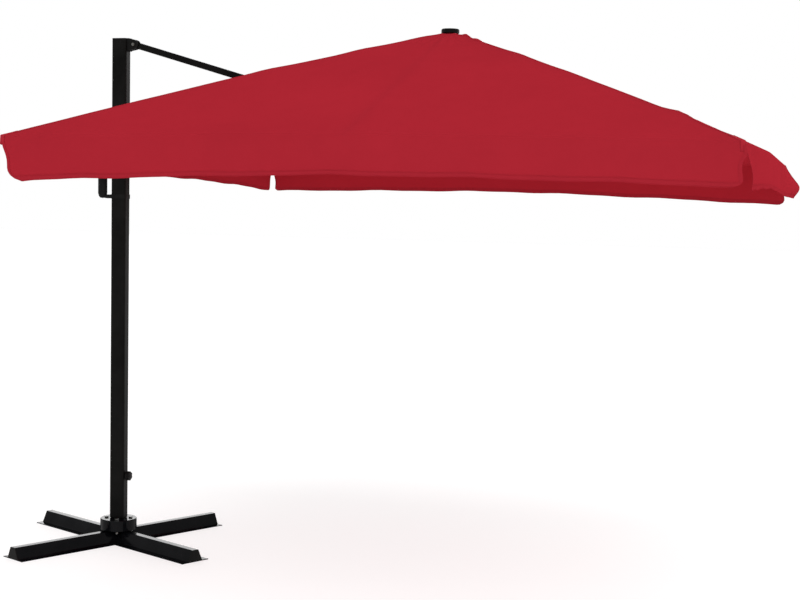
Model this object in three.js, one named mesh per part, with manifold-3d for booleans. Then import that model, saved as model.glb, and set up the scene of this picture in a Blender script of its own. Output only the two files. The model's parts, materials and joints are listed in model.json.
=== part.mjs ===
// Cantilever parasol: a cross base, a swivelling side mast, a boom and strut that fold down the mast on a
// sliding carriage, and a square canopy with a valance that folds with them.
// Millimetres, +Z up. The origin is on the mast's axis at floor level, and the boom reaches along +X.
import * as THREE from 'three';
import { mergeVertices } from 'three/addons/utils/BufferGeometryUtils.js';
import Module from 'manifold-3d';

// ---- Driving dimensions -------------------------------------------------------------------------------

const GAP = 0.3; // between pieces that touch
const DEG = Math.PI / 180;

// Cross base: one through beam and two half beams of hat section
const BASE_TURN = 63.7 * DEG; // the through beam's direction, from +X
const LEG_REACH = 630;
const HAT = { height: 60, top: 38, foot: 84, flange: 165, sheet: 4, fillet: 3 };
const TIE = { side: 150, thick: 3.5 };
const TOP_PLATE = { side: 130, thick: 5 };
const FLANGE = { r: 94, high: 56, wall: 7 };
const BOLT_REACH = 44; // each way from the centre, in the cross's own directions
const POST = { r: 21.2, wall: 3, top: 375 };

// Mast
const MAST = { wide: 80, deep: 56, corner: 11, wall: 3, bottom: 124, top: 2583 };
const BUSH = { bottom: 130, top: 373 };
const KNOB = { z: 345, r: 22, thick: 23, stand: 4, lobes: 6 };

// Folding linkage. The strut and the boom's lower arm are equally long, and the strut's top pivot and the
// carriage's pivot stand on one vertical line, so the carriage runs exactly along the mast.
const ARM = 950;
const STRUT_DROP = 15.9 * DEG; // below the horizontal
const LINE_X = 76;
const TOP_PIVOT_Z = 2562;
const HUB_PIVOT = { x: 1670, z: 2460 };
const BOOM_AT_RIM = { x: 235, z: 2008 }; // a point that the boom's centre line passes
const BOOM = { wide: 36, high: 50, wall: 2.5, corner: 6 };
const STRUT = { wide: 20, high: 32, wall: 2, corner: 4 };

// Carriage
const SLEEVE = { wall: 4, room: 5, bottom: 1892, top: 2066 };
const GUIDE = { wall: 2.4, bottom: 1781, height: 22 };
const GRIP = { x: -102, r: 25, flat: 0.7, low: 1800, high: 1938, armR: 10 };
const LEVER = { x: -57, z: 1962, thick: 6, drop: 66, wide: 20 };
const SHOE = { z: 1937, r: 6 };

// Hub and canopy frame
const HUB_X = 1735;
const PIVOT_R = 70;
const PIVOT_Z = 2564;
const STAY = 620; // from the crown's pivot to the stay's pivot, and the stay's own length
const RIB = { wide: 14, high: 16, wall: 1.3 };
const RIB_TIP_INSET = 12;
const RIB_BELOW_CLOTH = 11.4;
const CHANNEL = { wide: 20, high: 14, sheet: 2, open: 114 };
const CROWN = { r: 80, thick: 21, slot: 17, slotFrom: 50 };
const RUNNER = { r: 82, thick: 24, slot: 24, slotFrom: 50, bell: 34, bellR: 44 };
const HUB_POST = { r: 20, wall: 3.5 };

// Canopy cloth
const HALF = 1500;
const PEAK_Z = 2606;
const MID_Z = 2050; // rim height in the middle of a side
const CORNER_Z = 2033;
const SAG = 9; // between the ribs
const BOW = 15; // rise of the cloth's arch over a corner rib, above a straight line
const CLOTH = 1.2;
const PEAK_HOLE = 14;
const VALANCE = { drop: 186, flare: 16, corner: 70, slit: 24 };
const SLIT = { back: 98, front: 118, half: 25 };

const HIDDEN_SPOKE = 4; // the spoke of the eight that the boom takes the place of
const SPOKES = [0, 1, 2, 3, 5, 6, 7];

// ---- Solids -------------------------------------------------------------------------------------------

const wasm = await Module();
wasm.setup();

function toSolid(geometry) {
  const bare = geometry.clone();
  bare.deleteAttribute('normal');
  bare.deleteAttribute('uv');
  const merged = mergeVertices(bare, 1e-4);
  return new wasm.Manifold(new wasm.Mesh({
    numProp: 3,
    vertProperties: merged.attributes.position.array,
    triVerts: new Uint32Array(merged.index.array),
  }));
}

function toGeometry(solid) {
  const mesh = solid.getMesh();
  const geometry = new THREE.BufferGeometry();
  geometry.setAttribute('position', new THREE.BufferAttribute(mesh.vertProperties, 3));
  geometry.setIndex(new THREE.BufferAttribute(mesh.triVerts, 1));
  return geometry;
}

const join = (...parts) => toGeometry(parts.map(toSolid).reduce((a, b) => a.add(b)));
const cut = (part, ...tools) => toGeometry(tools.map(toSolid).reduce((a, b) => a.subtract(b), toSolid(part)));

// ---- Outlines -----------------------------------------------------------------------------------------

// A polygon with each corner rounded by up to r.
function rounded(points, r, Kind = THREE.Shape) {
  const shape = new Kind();
  points.forEach(([x, y], i) => {
    const here = new THREE.Vector2(x, y);
    const before = new THREE.Vector2(...points[(i + points.length - 1) % points.length]);
    const after = new THREE.Vector2(...points[(i + 1) % points.length]);
    const back = Math.min(r, here.distanceTo(before) / 2.1);
    const ahead = Math.min(r, here.distanceTo(after) / 2.1);
    const a = here.clone().addScaledVector(before.sub(here).normalize(), back);
    const b = here.clone().addScaledVector(after.sub(here).normalize(), ahead);
    if (i === 0) shape.moveTo(a.x, a.y);
    else shape.lineTo(a.x, a.y);
    shape.quadraticCurveTo(here.x, here.y, b.x, b.y);
  });
  shape.closePath();
  return shape;
}

function roundRect(wide, high, r, Kind = THREE.Shape) {
  const x = wide / 2;
  const y = high / 2;
  return rounded([[-x, -y], [x, -y], [x, y], [-x, y]], r, Kind);
}

function frame(wide, high, r, wall) {
  const shape = roundRect(wide, high, r);
  shape.holes.push(roundRect(wide - 2 * wall, high - 2 * wall, Math.max(r - wall, 0.5), THREE.Path));
  return shape;
}

// The outline that a string draws round some circles, each [x, y, r]. A point has r = 0.
function wrapped(circles, steps = 28) {
  const points = circles.flatMap(([x, y, r]) => (r === 0 ? [[x, y]] : Array.from({ length: steps }, (_, i) => {
    const a = (2 * Math.PI * i) / steps;
    return [x + r * Math.cos(a), y + r * Math.sin(a)];
  })));
  points.sort((p, q) => p[0] - q[0] || p[1] - q[1]);
  const turn = (o, a, b) => (a[0] - o[0]) * (b[1] - o[1]) - (a[1] - o[1]) * (b[0] - o[0]);
  const chain = (list) => {
    const kept = [];
    for (const p of list) {
      while (kept.length > 1 && turn(kept.at(-2), kept.at(-1), p) <= 1e-6) kept.pop();
      kept.push(p);
    }
    return kept.slice(0, -1);
  };
  const outline = [...chain(points), ...chain([...points].reverse())];
  return new THREE.Shape(outline.map(([x, y]) => new THREE.Vector2(x, y)));
}

// ---- Basic forms: a shape pushed along one axis -------------------------------------------------------

const flat = (depth) => ({ depth, bevelEnabled: false, curveSegments: 3 });

// The shape's x and y become Y and Z.
function alongX(shape, from, to) {
  const turn = new THREE.Matrix4().set(0, 0, 1, from, 1, 0, 0, 0, 0, 1, 0, 0, 0, 0, 0, 1);
  return new THREE.ExtrudeGeometry(shape, flat(to - from)).applyMatrix4(turn);
}

// The shape's x and y become X and Z.
function alongY(shape, from, to) {
  const turn = new THREE.Matrix4().set(1, 0, 0, 0, 0, 0, -1, to, 0, 1, 0, 0, 0, 0, 0, 1);
  return new THREE.ExtrudeGeometry(shape, flat(to - from)).applyMatrix4(turn);
}

const alongZ = (shape, from, to) => new THREE.ExtrudeGeometry(shape, flat(to - from)).translate(0, 0, from);

function box(x0, x1, y0, y1, z0, z1) {
  return new THREE.BoxGeometry(x1 - x0, y1 - y0, z1 - z0).translate((x0 + x1) / 2, (y0 + y1) / 2, (z0 + z1) / 2);
}

const rodX = (y, z, r, from, to, sides = 20) =>
  new THREE.CylinderGeometry(r, r, to - from, sides).rotateZ(-Math.PI / 2).translate((from + to) / 2, y, z);
const rodY = (x, z, r, from, to, sides = 20) =>
  new THREE.CylinderGeometry(r, r, to - from, sides).translate(x, (from + to) / 2, z);
const rodZ = (x, y, r, from, to, sides = 24) =>
  new THREE.CylinderGeometry(r, r, to - from, sides).rotateX(Math.PI / 2).translate(x, y, (from + to) / 2);

// A profile of [radius, height] points turned about Z. It starts and ends on the axis or closes on itself.
const turned = (points, sides = 48) =>
  new THREE.LatheGeometry(points.map(([r, z]) => new THREE.Vector2(r, z)), sides).rotateX(Math.PI / 2);

// ---- Materials ----------------------------------------------------------------------------------------

const finish = (color, roughness, metalness) => new THREE.MeshStandardMaterial({ color, roughness, metalness });
const baseCoat = finish(0x111317, 0.28, 0.3);
const mastCoat = finish(0x15161a, 0.42, 0.3);
const blackPlastic = finish(0x0c0d0e, 0.55, 0);
const zincSteel = finish(0x8d9094, 0.35, 1);
const cloth = finish(0xa82a34, 0.9, 0);

// ---- Assembly -----------------------------------------------------------------------------------------

const parasol = new THREE.Group();

function add(parent, name, geometry, material) {
  const mesh = new THREE.Mesh(geometry, material);
  mesh.name = name;
  parent.add(mesh);
}

function place(parent, x, y, z, pitch = 0, turn = 0) {
  const group = new THREE.Group();
  group.position.set(x, y, z);
  group.rotation.set(0, pitch, turn, 'ZYX');
  parent.add(group);
  return group;
}

// A bolt across the part, along Y: a hex head on one side, a shank and a nut on the other.
function boltAlongY(parent, name, x, z, shank, reach) {
  const hex = shank * 1.75;
  const tall = shank * 1.2;
  const solid = join(
    rodY(x, z, shank, -reach - tall - 2, reach + tall),
    rodY(x, z, hex, -reach - tall, -reach - GAP, 6),
    rodY(x, z, hex, reach + GAP, reach + tall, 6),
  );
  add(parent, name, solid, zincSteel);
}

// ---- Cross base ---------------------------------------------------------------------------------------

const cross = place(parasol, 0, 0, 0, 0, BASE_TURN);

function hatOutline() {
  const { height, top, foot, flange, sheet } = HAT;
  const slope = (foot - top) / 2 / (height - sheet);
  const inTop = top / 2 - sheet;
  const inFoot = inTop + slope * height;
  return rounded([
    [-flange / 2, 0], [-inFoot, 0], [-inTop, height - sheet], [inTop, height - sheet], [inFoot, 0], [flange / 2, 0],
    [flange / 2, sheet], [foot / 2, sheet], [top / 2, height], [-top / 2, height], [-foot / 2, sheet],
    [-flange / 2, sheet],
  ], HAT.fillet);
}

// The same from outside, with its hollow filled; `room` is left all round it
function filledOutline(room = 0, fillet = HAT.fillet) {
  const { height, top, foot, flange, sheet } = HAT;
  const edge = flange / 2 + room;
  return rounded([
    [-edge, -room], [edge, -room], [edge, sheet + room], [foot / 2 + room + fillet, sheet + room],
    [foot / 2 + room, sheet + room + fillet], [top / 2 + room, height + room], [-top / 2 - room, height + room],
    [-foot / 2 - room, sheet + room + fillet], [-foot / 2 - room - fillet, sheet + room], [-edge, sheet + room],
  ], 0.2);
}

const tieRoom = () => {
  const half = TIE.side / 2 + GAP;
  return box(-half, half, -half, half, -1, TIE.thick + GAP);
};

const throughBeam = cut(alongX(hatOutline(), -LEG_REACH, LEG_REACH), tieRoom());
add(cross, 'cross_beam', throughBeam, baseCoat);

const throughRoom = () => alongX(filledOutline(GAP), -200, 200);
for (const [side, label] of [[1, 'left'], [-1, 'right']]) {
  const half = alongX(hatOutline(), 1, LEG_REACH).rotateZ((side * Math.PI) / 2);
  add(cross, 'cross_half_beam_' + label, cut(half, tieRoom(), throughRoom()), baseCoat);
}

for (let leg = 0; leg < 4; leg += 1) {
  const tip = place(cross, 0, 0, 0, 0, (leg * Math.PI) / 2);
  add(tip, 'leg_cap_' + (leg + 1), alongX(filledOutline(), LEG_REACH + GAP, LEG_REACH + 4), blackPlastic);
}

const tieHalf = TIE.side / 2;
add(cross, 'tie_plate', box(-tieHalf, tieHalf, -tieHalf, tieHalf, 0, TIE.thick), baseCoat);

const boltPlaces = [[1, 1], [-1, 1], [-1, -1], [1, -1]].map(([a, b]) => [a * BOLT_REACH, b * BOLT_REACH]);
const boltHoles = (r, from, to) => boltPlaces.map(([x, y]) => rodZ(x, y, r, from, to));
const plateZ = HAT.height + GAP;
const flangeZ = plateZ + TOP_PLATE.thick + GAP;
const flangeTop = flangeZ + FLANGE.high;
const topPlate = alongZ(roundRect(TOP_PLATE.side, TOP_PLATE.side, 8), plateZ, plateZ + TOP_PLATE.thick);
add(cross, 'top_plate', cut(topPlate, ...boltHoles(6.4, 0, 130)), baseCoat);

const postInner = POST.r - POST.wall;
const flangedPost = turned([
  [postInner, flangeZ], [POST.r, flangeZ], [POST.r, flangeTop - FLANGE.wall],
  [FLANGE.r - FLANGE.wall, flangeTop - FLANGE.wall], [FLANGE.r - FLANGE.wall, flangeZ], [FLANGE.r, flangeZ],
  [FLANGE.r, flangeTop - 3], [FLANGE.r - 3, flangeTop], [POST.r, flangeTop], [POST.r, POST.top],
  [postInner, POST.top], [postInner, flangeZ],
], 64);
add(cross, 'swivel_post', cut(flangedPost, ...boltHoles(6.4, 0, 130)), baseCoat);

boltPlaces.forEach(([x, y], i) => {
  const bolt = join(
    rodZ(x, y, 6, plateZ - 14, flangeTop + 6, 16),
    rodZ(x, y, 10.4, flangeTop + GAP, flangeTop + 7, 6),
    rodZ(x, y, 10.4, plateZ - 10, plateZ - GAP, 6),
  );
  add(cross, 'flange_bolt_' + (i + 1), bolt, zincSteel);
});

// ---- Mast ---------------------------------------------------------------------------------------------

const mastFace = MAST.wide / 2;
const mastShape = () => frame(MAST.wide, MAST.deep, MAST.corner, MAST.wall);
const stemHole = (r) => rodX(0, KNOB.z, r, 15, mastFace + 10);
const capNotch = box(mastFace - 8, mastFace + 10, -17.5, 17.5, MAST.top - 54.5, MAST.top + 5);
const mastTube = alongZ(mastShape(), MAST.bottom, MAST.top);
add(parasol, 'mast', cut(mastTube, stemHole(6), capNotch), mastCoat);

function ring(room, wall, from, to) {
  const wide = MAST.wide + 2 * room + 2 * wall;
  const deep = MAST.deep + 2 * room + 2 * wall;
  return alongZ(frame(wide, deep, MAST.corner + room + wall, wall), from, to);
}

const bushFit = 2 * (MAST.wall + GAP);
const bushBlock = alongZ(
  roundRect(MAST.wide - bushFit, MAST.deep - bushFit, MAST.corner - MAST.wall), BUSH.bottom, BUSH.top);
const bushBore = rodZ(0, 0, POST.r + GAP, BUSH.bottom - 1, BUSH.top + 1, 40);
add(parasol, 'swivel_bush', cut(bushBlock, bushBore, stemHole(6)), blackPlastic);

// Clamp knob: a lobed head on a screw that presses the post
function knobHead() {
  const outline = new THREE.Shape();
  const steps = KNOB.lobes * 8;
  for (let i = 0; i < steps; i += 1) {
    const a = (2 * Math.PI * i) / steps;
    const r = KNOB.r - 1.8 + 1.8 * Math.cos(KNOB.lobes * a);
    if (i === 0) outline.moveTo(r, 0);
    else outline.lineTo(r * Math.cos(a), r * Math.sin(a));
  }
  outline.closePath();
  const bevel = { depth: KNOB.thick - 5, bevelEnabled: true, bevelThickness: 2.5, bevelSize: 2.2, bevelSegments: 2 };
  return new THREE.ExtrudeGeometry(outline, bevel).rotateY(Math.PI / 2);
}
const knobX = mastFace + KNOB.stand;
const clampKnob = join(
  knobHead().translate(knobX + 2.5, 0, KNOB.z),
  rodX(0, KNOB.z, 9, mastFace + 1, knobX + 4),
  rodX(0, KNOB.z, 5, POST.r + GAP + 0.4, knobX + 4),
);
add(parasol, 'clamp_knob', clampKnob, blackPlastic);

// Cap with the strut's clevis
const topPivot = { x: LINE_X, z: TOP_PIVOT_Z };
const capFit = 2 * (MAST.wall + GAP);
const capTop = MAST.top + 11;
const capLowZ = MAST.top - 54;
const capEar = () => wrapped([
  [topPivot.x, topPivot.z, 25], [mastFace - 4, capLowZ, 0], [mastFace - 4, capTop, 0], [mastFace + 6, capTop - 1, 0],
]);
const mastCap = cut(
  join(
    alongZ(roundRect(MAST.wide - capFit, MAST.deep - capFit, MAST.corner - MAST.wall), capLowZ, MAST.top + 2),
    alongZ(roundRect(MAST.wide, MAST.deep, MAST.corner), MAST.top + GAP, capTop),
    box(mastFace - 4, mastFace + 12, -17, 17, capLowZ, capTop),
    alongY(capEar(), 11, 17),
    alongY(capEar(), -17, -11),
  ),
  rodY(topPivot.x, topPivot.z, 5.3, -30, 30),
);
add(parasol, 'mast_cap', mastCap, blackPlastic);
boltAlongY(parasol, 'strut_bolt_top', topPivot.x, topPivot.z, 5, 17);

// ---- Strut --------------------------------------------------------------------------------------------

const strutFrame = place(parasol, topPivot.x, 0, topPivot.z, STRUT_DROP);
const strutEye = (x, r) => rodY(x, 0, r, -10, 10, 28);
const strutEnd = (from, to) => box(from, to, -STRUT.wide / 2, STRUT.wide / 2, -STRUT.high / 2, STRUT.high / 2);
const strut = cut(
  join(
    alongX(frame(STRUT.wide, STRUT.high, STRUT.corner, STRUT.wall), 40, ARM - 40),
    strutEnd(12, 42),
    strutEnd(ARM - 42, ARM - 10),
    strutEye(0, 16),
    strutEye(ARM, 12.6),
  ),
  rodY(0, 0, 5.3, -20, 20),
  rodY(ARM, 0, 5.3, -20, 20),
  rodZ(60, 0, 2.5, -20, 0, 12),
);
add(strutFrame, 'strut', strut, mastCoat);

// ---- Boom ---------------------------------------------------------------------------------------------

const carriagePivot = { x: LINE_X, z: TOP_PIVOT_Z - 2 * ARM * Math.sin(STRUT_DROP) };
const strutFoot = { x: LINE_X + ARM * Math.cos(STRUT_DROP), z: TOP_PIVOT_Z - ARM * Math.sin(STRUT_DROP) };
const boomRise = Math.atan2(HUB_PIVOT.z - BOOM_AT_RIM.z, HUB_PIVOT.x - BOOM_AT_RIM.x);
const boomFrame = place(parasol, carriagePivot.x, 0, carriagePivot.z, -boomRise);

// A point of the XZ plane in the boom's own directions, from the carriage's pivot
function inBoom({ x, z }) {
  const dx = x - carriagePivot.x;
  const dz = z - carriagePivot.z;
  return {
    x: dx * Math.cos(boomRise) + dz * Math.sin(boomRise),
    z: dz * Math.cos(boomRise) - dx * Math.sin(boomRise),
  };
}
const boomEnd = inBoom(HUB_PIVOT);
const boomPin = inBoom(strutFoot);
const axisZ = boomEnd.z;
const TUBE_FROM = 62;
const TUBE_TO = boomEnd.x - 44;

const boomTube = alongX(frame(BOOM.wide, BOOM.high, BOOM.corner, BOOM.wall), TUBE_FROM, TUBE_TO);
add(boomFrame, 'boom', boomTube.translate(0, 0, axisZ), mastCoat);

const plugFit = 2 * (BOOM.wall + GAP);
const boomPlug = (from, to) =>
  alongX(roundRect(BOOM.wide - plugFit, BOOM.high - plugFit, 3), from, to).translate(0, 0, axisZ);
const boomShoulder = (from, to) =>
  alongX(roundRect(BOOM.wide, BOOM.high, BOOM.corner), from, to).translate(0, 0, axisZ);

const rootArm = wrapped([
  [0, 0, 15], [TUBE_FROM - 20, axisZ + 22, 3], [TUBE_FROM - 20, axisZ - 20, 5], [TUBE_FROM - 6, axisZ - 20, 5],
]);
const boomRoot = cut(
  join(
    alongY(rootArm, -13, 13),
    boomShoulder(TUBE_FROM - 26, TUBE_FROM - GAP),
    boomPlug(TUBE_FROM - 1, TUBE_FROM + 70),
  ),
  rodY(0, 0, 5.3, -30, 30),
);
add(boomFrame, 'boom_root', boomRoot, blackPlastic);

const hubTongue = wrapped([[boomEnd.x, axisZ, 16], [TUBE_TO + 6, axisZ + 18, 4], [TUBE_TO + 6, axisZ - 18, 4]]);
const boomTip = cut(
  join(
    alongY(hubTongue, -12, 12),
    boomShoulder(TUBE_TO + GAP, TUBE_TO + 12),
    boomPlug(TUBE_TO - 70, TUBE_TO + 1),
  ),
  rodY(boomEnd.x, axisZ, 5.3, -30, 30),
);
add(boomFrame, 'boom_tip', boomTip, blackPlastic);

const saddleZ = axisZ + BOOM.high / 2 + GAP;
const bracketEar = () => wrapped([
  [boomPin.x, boomPin.z, 13], [boomPin.x - 34, saddleZ + 1, 0], [boomPin.x + 34, saddleZ + 1, 0],
]);
const strutBracket = cut(
  join(
    box(boomPin.x - 34, boomPin.x + 34, -17, 17, saddleZ, saddleZ + 3),
    alongY(bracketEar(), 11.5, 17),
    alongY(bracketEar(), -17, -11.5),
  ),
  rodY(boomPin.x, boomPin.z, 5.3, -30, 30),
);
add(boomFrame, 'strut_bracket', strutBracket, mastCoat);
boltAlongY(boomFrame, 'strut_bolt_boom', boomPin.x, boomPin.z, 5, 17);

// ---- Carriage -----------------------------------------------------------------------------------------

const sleeveFace = mastFace + SLEEVE.room + SLEEVE.wall;
const carriageEar = () => wrapped([
  [carriagePivot.x, carriagePivot.z, 16], [sleeveFace - 1, SLEEVE.top, 0], [sleeveFace - 1, SLEEVE.top - 82, 0],
]);
const leverEar = () => wrapped([
  [LEVER.x, LEVER.z, 6], [1 - sleeveFace, LEVER.z + 10, 0], [1 - sleeveFace, LEVER.z - 10, 0],
]);
const leverHalf = LEVER.wide / 2;
const sleeve = cut(
  join(
    ring(SLEEVE.room, SLEEVE.wall, SLEEVE.bottom, SLEEVE.top),
    alongY(carriageEar(), 13.8, 21),
    alongY(carriageEar(), -21, -13.8),
    alongY(leverEar(), leverHalf + 0.8, leverHalf + 4.3),
    alongY(leverEar(), -leverHalf - 4.3, -leverHalf - 0.8),
  ),
  rodY(LEVER.x, LEVER.z, 3.3, -30, 30),
  rodY(carriagePivot.x, carriagePivot.z, 5.3, -30, 30),
  rodX(0, SHOE.z, SHOE.r + GAP, -sleeveFace - 5, -mastFace - 1),
);
add(parasol, 'carriage', sleeve, blackPlastic);
boltAlongY(parasol, 'carriage_bolt', carriagePivot.x, carriagePivot.z, 5, 21);

const liner = (from, to) => ring(0.5, SLEEVE.room - 0.5 - GAP, from, to);
add(parasol, 'carriage_liner_bottom', liner(SLEEVE.bottom + 1, SLEEVE.bottom + 26), blackPlastic);
add(parasol, 'carriage_liner_top', liner(SLEEVE.top - 26, SLEEVE.top - 1), blackPlastic);

// D grip: a round bar with a thin arm at each end, the lower one ending in a ring that guides it on the mast
const gripArm = (points) => {
  const path = new THREE.CatmullRomCurve3(points.map(([x, z]) => new THREE.Vector3(x, 0, z)), false, 'centripetal');
  const section = new THREE.Shape().absarc(0, 0, GRIP.armR, 0, 2 * Math.PI);
  return new THREE.ExtrudeGeometry(section, { steps: 16, curveSegments: 6, extrudePath: path });
};
const ringFace = -mastFace - 0.5 - GUIDE.wall;
const ringMiddle = GUIDE.bottom + GUIDE.height / 2;
const guideRing = ring(0.5, GUIDE.wall, GUIDE.bottom, GUIDE.bottom + GUIDE.height);
const gripBar = turned([
  [0, GRIP.low - 18], [GRIP.r - 11, GRIP.low - 15], [GRIP.r - 4, GRIP.low - 6], [GRIP.r, GRIP.low + 8],
  [GRIP.r, GRIP.high - 8], [GRIP.r - 4, GRIP.high + 6], [GRIP.r - 11, GRIP.high + 15], [0, GRIP.high + 18],
], 24).scale(1, GRIP.flat, 1).translate(GRIP.x, 0, 0);
const grip = join(
  guideRing,
  gripBar,
  gripArm([[GRIP.x, GRIP.high], [GRIP.x + 4, GRIP.high + 22], [GRIP.x + 20, GRIP.high + 36],
    [-sleeveFace - 9, GRIP.high + 40], [-sleeveFace - 1, GRIP.high + 40]]),
  gripArm([[GRIP.x, GRIP.low + 10], [GRIP.x + 7, ringMiddle + 4], [GRIP.x + 22, ringMiddle], [ringFace - 8, ringMiddle],
    [ringFace + 1.5, ringMiddle]]),
);
add(parasol, 'carriage_grip', grip, blackPlastic);

const leverBlade = join(
  alongY(wrapped([[LEVER.x, LEVER.z, 5], [LEVER.x, LEVER.z - LEVER.drop + 4, LEVER.thick / 2]]), -leverHalf, leverHalf),
  rodY(LEVER.x, LEVER.z, 3, -leverHalf - 5, leverHalf + 5),
);
add(parasol, 'lock_lever', leverBlade, blackPlastic);
const shoeBack = LEVER.x + 5 + GAP;
add(parasol, 'lock_shoe', rodX(0, SHOE.z, SHOE.r, shoeBack, -mastFace - 0.6), blackPlastic);

// ---- Hub ----------------------------------------------------------------------------------------------

const linkAngle = Math.atan2(PIVOT_Z - (clothZ(HALF - RIB_TIP_INSET, 0) - RIB_BELOW_CLOTH),
  HALF - RIB_TIP_INSET - PIVOT_R);
const runnerZ = PIVOT_Z - 2 * STAY * Math.sin(linkAngle);
const hub = place(parasol, HUB_X, 0, 0);
const spokeTurn = (spoke) => (spoke * Math.PI) / 4;

// Slots for the eight spokes, cut in from the rim
const slots = (wide, from, low, high) => [...SPOKES, HIDDEN_SPOKE].map((spoke) =>
  box(from, 120, -wide / 2, wide / 2, low, high).rotateZ(spokeTurn(spoke)));

const crownLow = PIVOT_Z - 13;
const crownTop = crownLow + CROWN.thick;
const crownDisc = turned([
  [0, crownLow], [CROWN.r - 3, crownLow], [CROWN.r, crownLow + 3], [CROWN.r, crownTop - 4],
  [CROWN.r - 4, crownTop], [0, crownTop],
], 64);
add(hub, 'crown', cut(crownDisc, ...slots(CROWN.slot, CROWN.slotFrom, 2400, 2700)), blackPlastic);

const postLow = runnerZ + RUNNER.thick / 2 + 2;
const hubPostInner = HUB_POST.r - HUB_POST.wall;
const hubTube = turned([
  [hubPostInner, postLow], [HUB_POST.r, postLow], [HUB_POST.r, crownLow - GAP], [hubPostInner, crownLow - GAP],
  [hubPostInner, postLow],
], 32);

const hubPinX = HUB_PIVOT.x - HUB_X;
const bracketOutline = () => wrapped([
  [hubPinX, HUB_PIVOT.z, 17], [-HUB_POST.r + 6, HUB_PIVOT.z + 27, 0], [-HUB_POST.r + 6, HUB_PIVOT.z - 27, 0],
]);
const hubPost = cut(
  join(hubTube, alongY(bracketOutline(), 12.8, 18.2), alongY(bracketOutline(), -18.2, -12.8)),
  rodY(hubPinX, HUB_PIVOT.z, 5.3, -30, 30),
);
add(hub, 'hub_post', hubPost, mastCoat);
boltAlongY(hub, 'hub_bolt', hubPinX, HUB_PIVOT.z, 5, 19);

const capLow = PEAK_Z - 9;
add(hub, 'top_cap', turned([
  [0, crownTop + GAP], [9, crownTop + GAP], [9, capLow + 7], [12, capLow + 7], [41, capLow], [43, capLow + 1],
  [43, capLow + 16], [40, capLow + 20], [0, capLow + 21],
], 48), blackPlastic);

const bellLow = runnerZ - RUNNER.thick / 2;
const runnerDisc = turned([
  [0, bellLow - RUNNER.bell], [RUNNER.bellR - 6, bellLow - RUNNER.bell], [RUNNER.bellR, bellLow - RUNNER.bell + 5],
  [RUNNER.bellR + 4, bellLow - 4], [RUNNER.r - 3, bellLow], [RUNNER.r, bellLow + 3],
  [RUNNER.r, bellLow + RUNNER.thick - 3], [RUNNER.r - 3, bellLow + RUNNER.thick], [0, bellLow + RUNNER.thick],
], 64);
add(hub, 'runner', cut(runnerDisc, ...slots(RUNNER.slot, RUNNER.slotFrom, bellLow - 8, 2400)), blackPlastic);

// ---- Ribs and stays -----------------------------------------------------------------------------------

// Height of the cloth at square radius s (the larger of the two distances from the hub along the sides)
// and place t along the side, 0 at its middle and 1 at the corner.
function clothZ(s, t) {
  const q = s / HALF;
  const rim = MID_Z + (CORNER_Z - MID_Z) * t;
  return PEAK_Z + (rim - PEAK_Z) * q + Math.sin(Math.PI * Math.min(q, 1)) * (BOW * t * t - SAG * 4 * t * (1 - t));
}

for (const spoke of SPOKES) {
  const atCorner = spoke % 2 === 1;
  const reach = (HALF - RIB_TIP_INSET) * (atCorner ? Math.SQRT2 : 1);
  const tipZ = clothZ(HALF - RIB_TIP_INSET, atCorner ? 1 : 0) - RIB_BELOW_CLOTH;
  const drop = Math.atan2(PIVOT_Z - tipZ, reach - PIVOT_R);
  const length = Math.hypot(PIVOT_Z - tipZ, reach - PIVOT_R);
  const spokeFrame = place(hub, 0, 0, 0, 0, spokeTurn(spoke));
  const ribFrame = place(spokeFrame, PIVOT_R, 0, PIVOT_Z, drop);

  // The stay's pivot in the rib's own directions: below the rib where the rib is flatter than the link
  const joint = { x: STAY * Math.cos(linkAngle - drop), z: -STAY * Math.sin(linkAngle - drop) };
  const half = RIB.wide / 2;
  const tongue = wrapped([[joint.x, joint.z, 8], [joint.x - 20, -6, 0], [joint.x + 20, -6, 0]]);
  const pieces = [
    alongX(frame(RIB.wide, RIB.high, 2.5, RIB.wall), 30, length),
    box(0, 32, -half + 1, half - 1, -RIB.high / 2 + 1, RIB.high / 2 - 1),
    rodY(0, 0, 7.5, -half + 1, half - 1),
  ];
  if (atCorner) pieces.push(alongY(tongue, -half, half));
  const rib = cut(
    join(...pieces),
    rodY(0, 0, 2.7, -20, 20, 12),
    rodY(joint.x, joint.z, 2.7, -20, 20, 12),
  );
  add(ribFrame, 'rib_' + spoke, rib, mastCoat);

  const stayFrame = place(spokeFrame, PIVOT_R, 0, runnerZ, -linkAngle);
  const w = CHANNEL.wide / 2;
  const h = CHANNEL.high / 2;
  const channel = rounded([
    [-w, -h], [w, -h], [w, h], [w - CHANNEL.sheet, h], [w - CHANNEL.sheet, CHANNEL.sheet - h],
    [CHANNEL.sheet - w, CHANNEL.sheet - h], [CHANNEL.sheet - w, h], [-w, h],
  ], 0.8);
  const stay = cut(
    join(
      alongX(channel, 10, STAY + 8),
      box(4, 34, 1 - w, w - 1, -h + 1, h),
      rodY(0, 0, 7, 1 - w, w - 1),
      box(0, 12, 1 - w, w - 1, -h + 1, h - 1),
    ),
    box(STAY - CHANNEL.open, STAY + 20, -w + CHANNEL.sheet, w - CHANNEL.sheet, -20, 20),
    rodY(0, 0, 2.7, -20, 20, 12),
    rodY(STAY, 0, 2.7, -20, 20, 12),
  );
  add(stayFrame, 'stay_' + spoke, stay, mastCoat);
}

// ---- Canopy -------------------------------------------------------------------------------------------

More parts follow.
